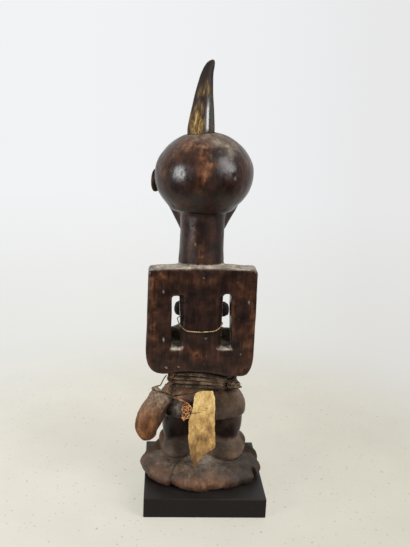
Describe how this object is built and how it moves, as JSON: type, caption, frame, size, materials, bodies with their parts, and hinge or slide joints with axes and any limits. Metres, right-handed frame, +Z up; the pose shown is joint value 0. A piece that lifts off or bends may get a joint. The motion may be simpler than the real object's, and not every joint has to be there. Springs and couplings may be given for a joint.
{
  "type": "standing power figure",
  "caption": "Carved standing figure with a ball head, a horn in its crown, a slotted shoulder block, a rope belt, a hanging pouch and a hide strip, on a square plinth.",
  "frame": {"origin": "middle of the plinth's flat underside", "axes": "+Z up; the figure faces -Y; +X is on the figure's own left"},
  "size_m": [0.1617, 0.15, 0.5416],
  "materials": {
    "dark_wood": "dark, oiled and worn to a soft gloss, with dust in its hollows",
    "black_plinth": "satin black",
    "horn": null,
    "fibre_rope": "matte, hairy, grey-brown fibre",
    "dark_cloth": "matte, crusted",
    "pale_thread": "matte twisted thread",
    "brown_leather": "worn matte leather",
    "dark_cord": "matte twisted cord",
    "yellow_hide": "dry scraped hide, mottled",
    "orange_string": "matte twisted string"
  },
  "bodies": {
    "root": {"plinth": "black_plinth", "carved_figure": "dark_wood", "horn": "horn", "waist_rope": "fibre_rope", "chest_packet": "dark_cloth", "chest_thread": "pale_thread", "pouch": "brown_leather", "pouch_cord": "dark_cord", "hide_strip": "yellow_hide", "knotted_string": "orange_string"}
  },
  "joints": []
}
